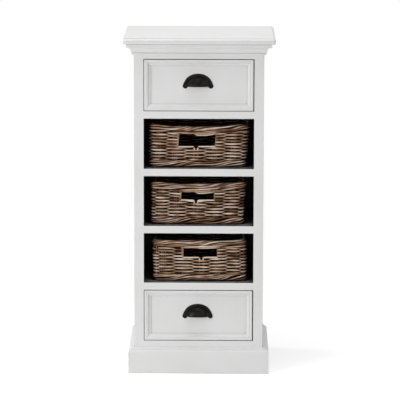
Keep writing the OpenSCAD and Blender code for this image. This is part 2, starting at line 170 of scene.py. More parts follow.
class BasketSettings(bpy.types.PropertyGroup):
    dark: colour("Cane, dark", "Brown of the darkest canes", "#6b462a")
    middle: colour("Cane", "Grey brown of most canes", "#c6a184")
    light: colour("Cane, light", "Bleached beige of the lightest canes", "#f8e8d8")
    # Painted shade between the canes, on their undersides and deep in the weave, in a dark warm
    # brown
    crevice: colour("Crevice", "Tint of the stain that settles between the canes", "#43220e")
    # Painted shade deep inside a basket
    gloom: colour("Basket gloom", "Tint of the shade deep inside a basket", "#1c0f07")
    corner: length("Corner radius", "Corner radius of the foot from above", 30)
    wall: length("Wall", "Thickness of the woven wall", 12)
    wall_in: length("Wall set in", "Set-back of the wall from the foot", 2)
    roll: length("Roll radius", "Radius of the rolled rim in the solid model", 9)
    row_pitch: length("Row pitch", "Height of one woven row", 5.4)
    strand_width: length("Strand width", "Width of a weaving strand", 6.3)
    strand_depth: length("Strand depth", "Thickness of a weaving strand", 4.8)
    swing: length("Swing", "How far a strand swings in and out round the stakes", 3.6)
    core: length("Core strand", "Thickness of the flat strand inside each row", 2)
    core_set: length("Core set-back", "Its distance behind the middle of the wall", 1.2)
    cane: length("Stake cane", "Thickness of the canes of a stake", 2.8)
    cane_gap: length("Cane spacing", "Distance between the canes of one stake", 6.3)
    edge_cane: length("Edge cane", "Thickness of the cane round a handle hole", 4.4)
    side_cane: length("Side cane", "Width of the upright at each side of a hole", 7)
    rim_strand: length("Rim strand", "Radius of a strand of the rolled rim", 3.3)
    rim_lay: length("Rim lay", "Length of one full twist of the rolled rim", 300)
    foot_strand: length("Foot strand", "Radius of a strand of the border of the foot", 3)
    foot_lay: length("Foot lay", "Length of one full twist of that border", 300)
    # Reaches of the ambient occlusion that paints shade into the weave and inside a basket
    shade: length("Shade reach", "How wide a gap in the weave lies in shade", 45)
    inside: length("Inside reach", "How far round a cane the inside of a basket shades it", 200)
    stake_spacing: length("Stake spacing", "Spacing of the stakes away from the front", 54)
    sag: lengths("Sag", "Dip of each rim between two corners", (10, 9, 4))
    wave: lengths("Rim wave", "Rise and fall of each rim along its sides", (0.8, 2.4, 1))
    sway: lengths("Side lean", "How far each rim stands to the right of its foot",
                  (8, 5.5, -3))
    upper_stakes: lengths("Upper stakes", "Front stakes of the upper basket",
                          (-179, -129, -75, -6.5, 56.5, 116.5, 168.5))
    middle_stakes: lengths("Middle stakes", "Front stakes of the middle basket",
                           (-156, -121.5, -70, -6, 59, 113.5, 159))
    lower_stakes: lengths("Lower stakes", "Front stakes of the lower basket",
                          (-151, -121, -52, 5, 60, 116, 151))
    hole_width: lengths("Hole width", "Width of each handle hole", (119, 107, 110))
    hole_height: lengths("Hole height", "Height of each handle hole", (42, 25, 30))
    hole_drop: lengths("Hole drop", "Top of each hole below the rim", (32.5, 36, 29))
    hole_shift: lengths("Hole shift", "Sideways place of each hole", (-4.5, -1, 2))
    droop: lengths("Droop", "Fall of the slack strand over each hole", (8, 7, 2))
    notch_shift: lengths("Notch shift", "Notch from the hole's middle", (-2, -5, 3))
    notch_width: length("Notch width", "Width of the notch in a hole's lower edge", 12)
    notch_depth: length("Notch depth", "Depth of that notch", 11)
    grain: length("Fibre", "Width of the fibres along a cane, coarse enough to show", 0.5)
    seed: IntProperty(name="Seed", description="Seed of the weaver's unevenness", default=7)


class WoodSettings(bpy.types.PropertyGroup):
    early: colour("Early wood", "Pale pine between the rings", "#dcc39a")
    late: colour("Late wood", "Darker line of each ring", "#b98f5e")
    ring: length("Ring spacing", "Distance between two year rings", 5)


class StageSettings(bpy.types.PropertyGroup):
    lens: FloatProperty(name="Lens", description="Focal length on a 36 mm sensor",
                        default=223.96, unit="CAMERA")
    place: FloatVectorProperty(name="Camera", description="Place of the camera", size=3,
                               default=(0.0761, -8.2379, 1.9905), unit="LENGTH")
    turn: FloatVectorProperty(
        name="Camera turn", description="Yaw, pitch down and roll of the camera", size=3,
        default=(0.0089, 0.1726, 0.0023), unit="ROTATION")
    key: watts("Key light", "Power of the soft light at the left", 81)
    side: watts("Side light", "Power of the light on the left side", 34)
    top: watts("Top light", "Power of the soft light overhead", 45)
    ambient: FloatProperty(name="Ambient", description="Strength of the even light all round",
                           default=0.4)


def settings(name):
    """One group of the add-on's settings."""
    return getattr(bpy.context.scene, "basket_unit_" + name)


# Mesh

def surface(points, closed_along, closed_across, along, across, tone=0.5, recess=0.0,
            capped=False):
    """A grid of points as quads. Row i lies along[i] metres down its length and column j
    across[j] metres round it, with one more of each where that way is closed."""
    rows, cols = points.shape[:2]
    i = np.arange(rows if closed_along else rows - 1)[:, None]
    j = np.arange(cols if closed_across else cols - 1)[None, :]
    i2, j2 = (i + 1) % rows, (j + 1) % cols
    corners = ((i, j), (i2, j), (i2, j2), (i, j2))
    ends = ((i, j), (i + 1, j), (i + 1, j + 1), (i, j + 1))
    quads = np.stack([np.broadcast_arrays(a * cols + b)[0] for a, b in corners], -1)
    uv = np.stack([np.stack(np.broadcast_arrays(along[a], across[b]), -1) for a, b in ends], -2)
    faces, uvs = [quads.reshape(-1, 4)], [uv.reshape(-1, 4, 2)]
    if capped:
        ring = np.arange(cols)
        for face, v in ((ring, along[0]), (ring[::-1] + (rows - 1) * cols, along[-1])):
            faces.append(face[None])
            uvs.append(np.stack([np.full(cols, v), across[:cols]], -1)[None])
    flat = points.reshape(-1, 3)
    return {
        "points": flat,
        "faces": faces,
        "uvs": uvs,
        "tone": np.broadcast_to(tone, (rows, cols)).ravel(),
        "recess": np.broadcast_to(recess, (rows, cols)).ravel(),
    }


def volume_of(shape):
    """Six times the signed volume of a closed shape: the sum over its triangles of a
    corner, measured from the shape's middle, times the cross product of the other two."""
    p = shape["points"] - shape["points"].mean(0)
    total = 0.0
    for f in shape["faces"]:
        for k in range(1, f.shape[1] - 1):
            second, third = p[f[:, k]], p[f[:, k + 1]]
            total += np.einsum("ij,ij->i", p[f[:, 0]], np.cross(second, third)).sum()
    return total


def outward(shape):
    """The same closed shape with its faces pointing outwards."""
    if volume_of(shape) < 0:
        shape["faces"] = [f[:, ::-1] for f in shape["faces"]]
        shape["uvs"] = [u[:, ::-1] for u in shape["uvs"]]
    return shape


def joined(shapes):
    """Several shapes as one list of points with its faces."""
    start, faces, uvs = 0, [], []
    for s in shapes:
        faces += [f + start for f in s["faces"]]
        uvs += s["uvs"]
        start += len(s["points"])
    return {
        "points": np.concatenate([s["points"] for s in shapes]),
        "faces": faces,
        "uvs": uvs,
        "tone": np.concatenate([s["tone"] for s in shapes]),
        "recess": np.concatenate([s["recess"] for s in shapes]),
    }


def new_piece(name, shapes, material, body, nodes, sharp=None):
    """One object made of several shapes, riding on a body and standing for CAD nodes."""
    shape = joined(shapes)
    corners = np.concatenate([f.ravel() for f in shape["faces"]])
    sizes = np.concatenate([np.full(len(f), f.shape[1]) for f in shape["faces"]])
    mesh = bpy.data.meshes.new(name)
    mesh.vertices.add(len(shape["points"]))
    mesh.vertices.foreach_set("co", shape["points"].astype(np.float32).ravel())
    mesh.loops.add(len(corners))
    mesh.loops.foreach_set("vertex_index", corners.astype(np.int32))
    mesh.polygons.add(len(sizes))
    mesh.polygons.foreach_set("loop_start", (np.cumsum(sizes) - sizes).astype(np.int32))
    mesh.update(calc_edges=True)
    layer = mesh.uv_layers.new(name="lay")
    flat = np.concatenate([u.reshape(-1, 2) for u in shape["uvs"]])
    layer.uv.foreach_set("vector", flat.astype(np.float32).ravel())
    for key in ("tone", "recess"):
        attribute = mesh.attributes.new(key, "FLOAT", "POINT")
        attribute.data.foreach_set("value", shape[key].astype(np.float32))
    if mesh.validate():
        raise RuntimeError(f"{name} has faces that Blender can't keep")
    return dress(bpy.data.objects.new(name, mesh), material, body, nodes, sharp)


def dress(piece, material, body, nodes, sharp=None):
    """Links a piece, gives it its finish and shading, and says what it rides on."""
    bpy.context.scene.collection.objects.link(piece)
    piece.data.materials.clear()
    piece.data.materials.append(material)
    piece.data.shade_smooth()
    if sharp:
        piece.data.set_sharp_from_angle(angle=math.radians(sharp))
    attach(piece, body)
    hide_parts(*nodes)
    return piece


def ease_edges(piece, width):
    """Rounds the piece's arrises, as sandpaper and paint do."""
    bevel = piece.modifiers.new("eased", "BEVEL")
    bevel.width = width
    bevel.segments = 2
    bevel.limit_method = "ANGLE"
    bevel.angle_limit = math.radians(BOARD_ARRIS)
    bevel.harden_normals = True
    return piece


def running_length(path):
    """Distance along a path at each of its points, and last back at its start."""
    steps = np.linalg.norm(np.diff(path, axis=0, append=path[:1]), axis=1)
    return np.concatenate([[0.0], np.cumsum(steps)])


def eased(value):
    """A smooth step: 0 up to 0, 1 from 1 on, and t squared times (3 - 2t) between."""
    t = np.clip(value, 0, 1)
    return t * t * (3 - 2 * t)


def board_from(node, name, material, body):
    """A merged copy of a CAD board with eased edges, which stands for that board. Faces
    within a degree of each other become one, so that the edges ease cleanly."""
    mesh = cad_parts[node].data.copy()
    mesh.name = name
    shape = bmesh.new()
    shape.from_mesh(mesh)
    bmesh.ops.remove_doubles(shape, verts=shape.verts, dist=0.01 * MM)
    bmesh.ops.dissolve_limit(shape, angle_limit=math.radians(1), verts=shape.verts,
                             edges=shape.edges)
    shape.to_mesh(mesh)
    shape.free()
    piece = dress(bpy.data.objects.new(name, mesh), material, body, [node],
                  BOARD_ARRIS)
    return ease_edges(piece, settings("paint").ease)


# Materials

def add_node(tree, kind, inputs=None, stops=(), **values):
    """Adds a shader node with its settings and the stops of its ramp. An input given as a
    socket is linked, and so is one given as a node, by its first live output."""
    made = tree.nodes.new("ShaderNode" + kind)
    for key, value in values.items():
        setattr(made, key, value)
    ramp = made.color_ramp.elements if stops else ()
    while len(ramp) < len(stops):
        ramp.new(1.0)
    for element, (place, rgba) in zip(ramp, stops):
        element.position = place
        element.color = rgba
    for key, value in (inputs or {}).items():
        if isinstance(value, bpy.types.Node):
            value = next(s for s in value.outputs if s.enabled)
        if isinstance(value, bpy.types.NodeSocket):
            tree.links.new(value, made.inputs[key])
        else:
            made.inputs[key].default_value = value
    return made


def new_material(name):
    """An empty node material and its tree."""
    material = bpy.data.materials.new(name)
    material.use_nodes = True
    material.node_tree.nodes.clear()
    return material, material.node_tree


def shared_material(name, build, *inputs):
    """The material of that name, built the first time that it is asked for."""
    return bpy.data.materials.get(name) or build(name, *inputs)


def satin_paint(name, along, place_in):
    """Satin oil paint, brushed along the board and laid off over a rolled coat. It gives a
    soft broad sheen, faint brush lines, a very slight change of white from place to place
    and painted shade in the joints: a grey that ambient occlusion lays in narrow gaps, and
    that also stands for dirt settled there. `along` is the board's length. Boards inside
    the case get a near-black painted shade where the bays close in round them, and so do
    the faces of the face frame that look into a bay; its rails are brushed across and its
    stiles up and down."""
    paint = settings("paint")
    material, tree = new_material(name)
    place = add_node(tree, "TexCoord").outputs["Object"]
    stroke = 20 * paint.brush
    laid = []  # a rail's strokes run along x and a stile's along z
    for way in ("x", "z") if place_in == "frame" else (along,):
        laid.append(add_node(tree, "Mapping", {
            "Vector": place,
            "Scale": [1 / (stroke if axis == way else paint.brush) for axis in "xyz"]}))
    if place_in == "frame":
        across = add_node(tree, "SeparateXYZ", {"Vector": place})
        across = add_node(tree, "Math", {0: across}, operation="ABSOLUTE")
        on_stile = add_node(tree, "Math", {0: across, 1: STILE.x}, operation="GREATER_THAN")
        laid.insert(0, add_node(tree, "Mix", {
            "Factor": on_stile, "A": laid[0], "B": laid[1]}, data_type="RGBA"))
    brush = add_node(tree, "TexNoise", {
        "Vector": laid[0], "Scale": 1.0, "Detail": 3.0, "Roughness": 0.6})
    dimples = add_node(tree, "TexNoise", {
        "Vector": place, "Scale": 1 / paint.stipple, "Detail": 2.0})
    # The clouds of thinner and thicker paint are about 140 mm across
    clouds = add_node(tree, "TexNoise", {
        "Vector": place, "Scale": 7.0, "Detail": 2.0, "Roughness": 0.4})
    height = add_node(tree, "Math", {0: brush, 1: dimples}, operation="ADD")
    bump = add_node(tree, "Bump", {"Strength": 0.17, "Distance": 0.05 * MM, "Height": height})
    white = add_node(tree, "ValToRGB", {"Fac": clouds}, stops=(
        (0.35, paint.shade), (0.6, paint.colour)))
    # Painted shade: within the reach, ambient occlusion darkens the paint, to grey in the
    # joints and to near black inside the case and on the face frame
    reach, darkest_at, clear = {
        "joints": (paint.joint, 0.3, 0.62), "inside": (paint.bay, 0.35, 0.9),
        "frame": (paint.bay, 0.68, 1.0)}[place_in]
    open_air = add_node(tree, "AmbientOcclusion", {"Distance": reach}, samples=8)
    undarkened = add_node(tree, "MapRange", {
        "Value": open_air.outputs["AO"], "From Min": darkest_at, "From Max": clear})
    # On the face frame, faces that look straight out to the front get no painted shade
    if place_in == "frame":
        facing = add_node(tree, "NewGeometry").outputs["Normal"]
        facing = add_node(tree, "SeparateXYZ", {"Vector": facing}).outputs["Y"]
        front = add_node(tree, "MapRange", {
            "Value": facing, "From Min": -0.8, "From Max": -0.98})
        undarkened = add_node(tree, "Math", {0: front, 1: undarkened}, operation="MAXIMUM")
    # The colour that the painted shade darkens towards
    dark = paint.dust if place_in == "joints" else paint.gloom
    white = add_node(tree, "Mix", {"Factor": undarkened, "A": dark, "B": white}, data_type="RGBA")
    rough = add_node(tree, "MapRange", {"Value": brush, "To Min": 0.48, "To Max": 0.6})
    shader = add_node(tree, "BsdfPrincipled", {
        "Base Color": white, "Roughness": rough, "IOR": 1.5, "Normal": bump})
    add_node(tree, "OutputMaterial", {"Surface": shader})
    return material


def bare_pine(name, along):
    """Planed pine without finish. It gives straight rings that wander a little, a fine
    fibre along the board and a dry, slightly silky surface."""
    wood = settings("wood")
    material, tree = new_material(name)
    place = add_node(tree, "TexCoord").outputs["Object"]
    # The rings wander by some 18 mm either way. A fibre is 25 mm long and 0.5 mm wide,
    # which is coarser than real ones, so that it shows.
    laid, fine = (add_node(tree, "Mapping", {
        "Vector": place, "Scale": [lengthwise if axis == along else across for axis in "xyz"]})
        for lengthwise, across in ((0.08, 1.0), (40.0, 2200.0)))
    wander = add_node(tree, "TexNoise", {"Vector": laid, "Scale": 14.0, "Detail": 2.0})
    bent = add_node(tree, "VectorMath", {
        0: wander.outputs["Color"], 1: (0.035, 0.035, 0.035), 2: laid},
        operation="MULTIPLY_ADD")
    rings = add_node(tree, "TexWave", {
        "Vector": bent, "Scale": 0.31 / wood.ring, "Distortion": 0.0},
        wave_type="BANDS", bands_direction="DIAGONAL", wave_profile="SAW")
    fibre = add_node(tree, "TexNoise", {"Vector": fine, "Scale": 1.0, "Detail": 2.0})
    grain = add_node(tree, "Math", {0: rings.outputs["Fac"], 1: fibre}, operation="MULTIPLY")
    tint = add_node(tree, "ValToRGB", {"Fac": grain}, stops=(
        (0.1, wood.early), (0.7, wood.late)))
    bump = add_node(tree, "Bump", {"Strength": 0.3, "Distance": 0.08 * MM, "Height": fibre})
    shader = add_node(tree, "BsdfPrincipled", {
        "Base Color": tint, "Roughness": 0.6, "IOR": 1.5, "Normal": bump})
    add_node(tree, "OutputMaterial", {"Surface": shader})
    return material


def kubu_cane(name):
    """Grey-brown kubu rattan, woven unpeeled and dried. It gives each strand its own tone,
    fibres and scuffs along its length, painted shade where strands pass behind others, on
    their undersides and deep in the weave, painted shade inside the basket, and a dry
    gleam on each strand's crown."""
    cane = settings("basket")
    material, tree = new_material(name)
    # Lengths along a strand are u and lengths round it v, both in metres. Fibres are some
    # 33 mm long, and the pale and dark patches 45 mm long and 6 mm wide.
    lay = add_node(tree, "UVMap", uv_map="lay")
    shade, recess = (add_node(tree, "Attribute", attribute_name=key).outputs["Fac"]
                     for key in ("tone", "recess"))
    fine = add_node(tree, "Mapping", {"Vector": lay, "Scale": (30.0, 1 / cane.grain, 1.0)})
    fibre = add_node(tree, "TexNoise", {
        "Vector": fine, "Scale": 1.0, "Detail": 4.0, "Roughness": 0.65})
    broad = add_node(tree, "Mapping", {"Vector": lay, "Scale": (22.0, 160.0, 1.0)})
    patches = add_node(tree, "TexNoise", {
        "Vector": broad, "Scale": 1.0, "Detail": 3.0, "Roughness": 0.6})
    for pattern, share in ((patches, 0.75), (fibre, 0.45)):
        shade = add_node(tree, "Math", {0: pattern, 1: share, 2: shade},
                         operation="MULTIPLY_ADD")
    shade = add_node(tree, "Math", {0: shade, 1: 0.6}, operation="SUBTRACT")
    tint = add_node(tree, "ValToRGB", {"Fac": shade}, stops=(
        (0.05, cane.dark), (0.45, cane.middle), (0.95, cane.light)))
    # Painted shade: each point's recess, and ambient occlusion near the cane and across the
    # basket, darken its colour towards dark brown
    painted_shades = [(recess, cane.crevice)]
    for reach, clear, full, stain in ((cane.shade, 0.76, 0.42, cane.crevice),
                                      (cane.inside, 0.34, 0.1, cane.gloom)):
        open_air = add_node(tree, "AmbientOcclusion", {"Distance": reach}, samples=8)
        painted_shades.append((add_node(tree, "MapRange", {
            "Value": open_air.outputs["AO"], "From Min": clear, "From Max": full}), stain))
    for amount, stain in painted_shades:
        tint = add_node(tree, "Mix", {"Factor": amount, "A": tint, "B": stain},
                        data_type="RGBA", blend_type="MULTIPLY")
    bump = add_node(tree, "Bump", {"Strength": 0.6, "Distance": 0.25 * MM, "Height": fibre})
    rough = add_node(tree, "MapRange", {"Value": fibre, "To Min": 0.42, "To Max": 0.7})
    shader = add_node(tree, "BsdfPrincipled", {
        "Base Color": tint, "Roughness": rough, "IOR": 1.45, "Specular IOR Level": 0.14,
        "Normal": bump})
    add_node(tree, "OutputMaterial", {"Surface": shader})
    return material


def cast_iron(name):
    """Sand-cast iron with a black patina, rubbed back to brown in random patches. It gives a
    near-black body with a soft broken highlight and the fine pits of the casting."""
    pull = settings("pull")
    material, tree = new_material(name)
    place = add_node(tree, "TexCoord").outputs["Object"]
    # Rubbed places are about 18 mm across, and the pits 1.1 mm, coarse enough to show
    clouds = add_node(tree, "TexNoise", {
        "Vector": place, "Scale": 55.0, "Detail": 4.0, "Roughness": 0.55})
    pits = add_node(tree, "TexNoise", {
        "Vector": place, "Scale": 1 / (1.1 * MM), "Detail": 3.0})
    tint = add_node(tree, "ValToRGB", {"Fac": clouds}, stops=(
        (0.42, pull.metal), (0.75, pull.rubbed)))
    bump = add_node(tree, "Bump", {"Strength": 0.5, "Distance": 0.12 * MM, "Height": pits})
    rough = add_node(tree, "MapRange", {
        "Value": clouds, "From Min": 0.3, "From Max": 0.7, "To Min": 0.28, "To Max": 0.4})
    shader = add_node(tree, "BsdfPrincipled", {
        "Base Color": tint, "Metallic": 0.3, "Roughness": rough, "Specular IOR Level": 0.15,
        "Normal": bump})
    add_node(tree, "OutputMaterial", {"Surface": shader})
    return material


def paint_along(axis, place_in="joints"):
    """Paint brushed along an axis, with dust in the joints or shade inside the case."""
    return shared_material(f"satin_paint_{place_in}_{axis}", satin_paint, axis, place_in)


def pine_along(axis):
    """Bare pine with its grain along an axis."""
    return shared_material("bare_pine_" + axis, bare_pine, axis)


def longest_axis(node):
    """The axis along which a CAD node is longest."""
    low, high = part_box(node)
    return "xyz"[int(np.argmax(np.array(high) - np.array(low)))]


# Boards and mouldings

def face_frame():
    """The face frame as one body with no line at its joints. Its grid has a line at every
    width and height where a board starts or ends. A block of the grid is solid where a
    board is, and a face stands wherever a solid block meets an empty one."""
    boxes = np.array([[list(c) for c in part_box(node)] for node in FRAME_BOARDS]).round(6)
    x, y, z = (np.unique(boxes[..., axis]) for axis in range(3))
    middle_x, middle_z = (x[1:] + x[:-1])[:, None] / 2, (z[1:] + z[:-1])[None] / 2
    low, high = boxes[:, 0, :, None, None], boxes[:, 1, :, None, None]
    solid = ((low[:, 0] < middle_x) & (middle_x < high[:, 0])
             & (low[:, 2] < middle_z) & (middle_z < high[:, 2])).any(0)
    ringed = np.pad(solid, 1)

    def faces(neighbour, corners):
        i, k = np.nonzero(solid & ~neighbour)
        return np.stack([((i + di) * len(z) + k + dk) * 2 + back for di, dk, back in corners],
                        -1)

    empty = np.zeros_like(solid)
    quads = np.concatenate([
        faces(empty, ((0, 0, 0), (1, 0, 0), (1, 1, 0), (0, 1, 0))),
        faces(empty, ((0, 0, 1), (0, 1, 1), (1, 1, 1), (1, 0, 1))),
        faces(ringed[:-2, 1:-1], ((0, 0, 1), (0, 0, 0), (0, 1, 0), (0, 1, 1))),
        faces(ringed[2:, 1:-1], ((1, 0, 0), (1, 0, 1), (1, 1, 1), (1, 1, 0))),
        faces(ringed[1:-1, :-2], ((1, 0, 0), (0, 0, 0), (0, 0, 1), (1, 0, 1))),
        faces(ringed[1:-1, 2:], ((0, 1, 0), (1, 1, 0), (1, 1, 1), (0, 1, 1))),
    ])
    used, quads = np.unique(quads, return_inverse=True)
    points = np.stack(np.meshgrid(x, z, y, indexing="ij"), -1).reshape(-1, 3)[used]
    quads = quads.reshape(-1, 4)
    none = np.zeros(len(points))
    return {"points": points[:, [0, 2, 1]], "faces": [quads], "tone": none, "recess": none,
            "uvs": [np.zeros(quads.shape + (2,))]}


def arc(cx, cy, radius, start, end, steps=14):
    """Points of an arc about a centre, from one angle to another, in degrees."""
    a = np.radians(np.linspace(start, end, steps + 1))
    return np.stack([cx + radius * np.cos(a), cy + radius * np.sin(a)], -1)


def moulding_length(section, start, end, out_start, out_end, up):
    """A length of moulding: each section point (p, q) lies p times the out direction of
    that end and q times `up` from the line between start and end."""
    start, end = np.array(start), np.array(end)
    rows = np.stack([
        origin + section[:, :1] * np.array(out, float) + section[:, 1:] * np.array(up, float)
        for origin, out in ((start, out_start), (end, out_end))])
    along = np.array([0.0, np.linalg.norm(end - start)])
    return outward(surface(rows, False, True, along, running_length(section), capped=True))


def front_and_sides(stem, section):
    """The three mitred lengths of a moulding that runs round the front of the case."""
    side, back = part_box("side_right")[1].xy
    left, right = (-side, STILE.y, 0), (side, STILE.y, 0)
    runs = {
        "front": (left, right, (-1, -1, 0), (1, -1, 0), "x"),
        "left": (left, (-side, back, 0), (-1, -1, 0), (-1, 0, 0), "y"),
        "right": (right, (side, back, 0), (1, -1, 0), (1, 0, 0), "y"),
    }
    for key, (*run, along) in runs.items():
        piece = new_piece(f"{stem}_moulding_{key}", [moulding_length(section, *run, UPWARD)],
                          paint_along(along), "carcass", [f"{stem}_{key}"],
                          MOULDING_ARRIS)
        ease_edges(piece, 0.4 * MM)


def cornice_section():
    """Foot bead, leaning neck, hollow and fillet, from the frame out and up, with a
    chamfer that leaves a fine groove under the top board."""
    trim = settings("trim")
    low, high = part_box("cornice_front")
    reach, top, foot = STILE.y - low.y, high.z, low.z
    bead, cove, quirk = trim.bead_radius, trim.cove_radius, trim.cove_quirk
    neck, inset, ledge = 3.5 * MM, 4.5 * MM, 1.5 * MM
    brow = top - 12 * MM
    return np.concatenate([
        [[0, top], [0, foot]],
        arc(bead, foot + bead, bead, -90, 60),
        [[bead + neck, foot + 2 * bead]],
        arc(reach - inset, brow - cove, cove, 180, 90),
        [[reach - ledge, brow], [reach, brow + 2 * MM],
         [reach, top - quirk], [reach - quirk, top]],
    ])


def plinth_section():
    """Upright face, rounded top edge, small flat and bevel back to the frame."""
    trim = settings("trim")
    low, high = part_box("plinth_front")
    reach = STILE.y - low.y
    flat = reach - trim.plinth_round
    flat_z = high.z - trim.plinth_bevel - trim.plinth_flat
    return np.concatenate([
        [[0, 0], [reach, 0]],
        arc(flat, flat_z - trim.plinth_round, trim.plinth_round, 0, 90),
        [[flat, flat_z + trim.plinth_flat], [0, high.z]],
    ])


def drawer_section():
    """Section of a drawer's moulding, p in from the edge and q out from its face: a flat, a
    fall, a bead, a quirk, a hollow (a quarter of a sine), a smaller bead and a step down
    to the panel."""
    trim = settings("trim")
    low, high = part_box("drawer_upper_moulding")
    depth = high.y - low.y
    edge, flat, fall = trim.moulding_edge, trim.moulding_flat, trim.moulding_fall
    bead, small = trim.moulding_bead, 1 * MM
    slope, dip, quirk_depth = 2.8 * MM, 0.5 * MM, 3.4 * MM
    crown = flat + 3 * MM + bead
    quirk = crown + bead + 0.6 * MM
    inner = trim.moulding_width - 2 * small
    foot = depth - trim.moulding_step
    t = np.linspace(0, 1, 13)
    hollow = np.stack([quirk + (inner - quirk) * t,
                       -quirk_depth - (foot - quirk_depth) * np.sin(np.pi / 2 * t)], -1)
    return np.concatenate([
        [[0, -depth]],
        arc(edge, -edge, edge, 180, 90, 4),
        [[flat, 0], [flat + slope, -fall]],
        arc(crown, -fall - dip, bead, 155, 0, 12),
        hollow,
        arc(inner + small, -foot, small, 170, 0, 8),
        [[trim.moulding_width, -depth]],
    ])


def drawer_moulding(stem):
    """The four mitred lengths round a drawer's panel, planed at the right and the top."""
    trim = settings("trim")
    section, cut = drawer_section(), trim.mitre_gap / math.sqrt(2)
    low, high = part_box(stem + "_moulding")
    right, top = high.x - trim.planed, high.z - trim.planed_top
    corners = np.array([(low.x, low.z), (right, low.z), (right, top), (low.x, top)])
    shapes = []
    for start, end in zip(corners, np.roll(corners, -1, 0)):
        step = np.sign(end - start)
        inward = np.array([-step[1], step[0]])
        (x0, z0), (x1, z1) = start + step * cut, end - step * cut
        (p0, q0), (p1, q1) = inward + step, inward - step
        shapes.append(moulding_length(section, (x0, low.y, z0), (x1, low.y, z1),
                                      (p0, 0, q0), (p1, 0, q1), (0, -1, 0)))
    return shapes


def beaded_top():
    """The top board. A point of its edge's section that lies p behind the tip draws the
    board's rounded outline in by p on the front and both ends, at its own height."""
    trim = settings("trim")
    low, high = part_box("top_board")
    small, corner, fillet = trim.nose_small, trim.top_corner, trim.nose_fillet
    thick = high.z - low.z
    shoulder = thick - trim.nose_quirk
    big = (shoulder - fillet) / 2 - small
    behind, step = trim.nose_set + small, big + 0.8 * MM
    section = np.concatenate([
        [[-behind, 0]],
        arc(-behind, fillet + small, small, -90, 52, 10),
        arc(-big, shoulder - big, big, -52, 90, 18),
        [[-step, shoulder - 0.6 * MM], [-step, thick]],
    ])
    left = arc(low.x + corner, low.y + corner, corner, 180, 270, 8)
    right = arc(high.x - corner, low.y + corner, corner, 270, 360, 8)
    edge = np.concatenate([[[low.x, high.y]], left, right, [[high.x, high.y]]])
    out = np.concatenate([[[-1, 0]], arc(0, 0, 1, 180, 270, 8), arc(0, 0, 1, 270, 360, 8),
                          [[1, 0]]])
    plan = edge[None] + section[:, :1, None] * out[None]
    height = np.broadcast_to(low.z + section[:, 1, None, None], plan.shape[:2] + (1,))
    return outward(surface(np.concatenate([plan, height], -1), False, True,
                           running_length(section)[:-1], running_length(edge), capped=True))


# Cup pulls

def cup(centre, pull, radius, depth):
    """The shell of a cup pull, open below its lip. A point at angle a about the middle of
    the lip lies where that ray meets the circle of radius R cos(t)^k round the pull's
    middle, and stands D sin(t)^k out of the panel, so the pole is on the lip. A rounded
    edge, half an ellipse, joins the outer and the inner face at each side."""
    power = 2 / 2.35
    turn = np.linspace(0, math.pi, 65)
    shells = []
    for r, d in ((radius, depth), (radius - pull.wall, depth - pull.wall)):
        top = math.acos((pull.lip / r) ** (1 / power))
        t = top * (1 - np.linspace(1, 0, 33) ** 1.6)
        ring, out = r * np.cos(t) ** power, d * np.sin(t) ** power
        ring[-1] = pull.lip
        ring, out = ring[:, None], out[:, None]
        ray = np.sqrt(np.maximum(ring ** 2 - (pull.lip * np.cos(turn)) ** 2, 0))
        ray = ray - pull.lip * np.sin(turn)
        shells.append(np.stack([
            centre[0] + ray * np.cos(turn), np.broadcast_to(centre[1] - out, ray.shape),
            centre[2] + pull.lip + ray * np.sin(turn)], -1))
    outer, inner = shells
    lips = []
    for column in (0, -1):
        middle, half = ((outer[:, column] + sign * inner[:, column]) / 2 for sign in (1, -1))
        drop = np.linalg.norm(half, axis=1)[:, None] * np.array([[0, 0, -0.9]])
        lips.append(np.stack([middle + half * math.cos(e) + drop * math.sin(e)
                              for e in np.linspace(0, math.pi, 7)[1:-1]], 1))
    right, left = lips
    grid = np.concatenate([outer, left, inner[:, ::-1], right[:, ::-1]], 1)
    along = np.linspace(0, 1.6 * radius, grid.shape[0])
    across = np.linspace(0, 4 * radius, grid.shape[1] + 1)
    return [surface(grid, False, True, along, across),
            surface(np.concatenate([outer[:1], inner[:1]]), False, False,
                    np.array([0, pull.wall]), math.pi * radius * turn / turn[-1])]


def flange(centre, pull, radius):
    """The flat ring round the cup with a cast rope edge. Its middle line is an arc about
    the middle of the foot line, and past each end of the arc the width closes to a round
    ear that stands out a little. Halfway up each side the ring is a little fuller than
    that arc. Across it the height is a low crown plus a rope of slanted turns."""
    ear = pull.ear_radius
    middle = radius - ear
    start = math.asin(ear / middle)
    sweep = middle * (math.pi - 2 * start)
    u = np.linspace(-ear, sweep + ear, 241)[:, None]
    on_arc = np.clip(u, 0, sweep)
    over = u - on_arc
    turn = start + on_arc / middle
    half = np.sqrt(np.maximum(ear ** 2 - over ** 2, 1e-10))
    blend = np.clip(np.minimum(on_arc, sweep - on_arc) / (2 * ear), 0, 1)
    inner = half - blend * (2 * ear - pull.flange_width - pull.wall)
    v = np.sin(np.linspace(-math.pi / 2, math.pi / 2, 25))[None, :]
    radial = np.where(v < 0, v * inner, v * half) + pull.ear_out * (1 - blend) ** 2
    radial = radial + pull.shoulder * np.sin(2 * turn) ** 2
    twist = np.cos(2 * np.pi * (u + 0.35 * radial) / pull.rope_pitch)
    band = np.exp(-((v - 0.35) / 0.45) ** 2)
    crown = np.sqrt(np.maximum(1 - np.abs(v) ** 16, 0))
    height = crown * (0.8 * pull.flange_thickness
                      + pull.rope_relief * band * (0.5 + 0.5 * twist))
    x = (middle + radial) * np.cos(turn) - over * np.sin(turn)
    z = (middle + radial) * np.sin(turn) + over * np.cos(turn)
    top = np.stack([centre[0] + x, centre[1] - height, centre[2] + z], -1)
    back = top[:, ::-1][:, 1:-1].copy()
    back[..., 1] = centre[1]
    grid = np.concatenate([top, back], 1)
    across = np.linspace(0, 4 * pull.flange_width, grid.shape[1] + 1)
    return outward(surface(grid, False, True, (u - u[0])[:, 0], across, capped=True))


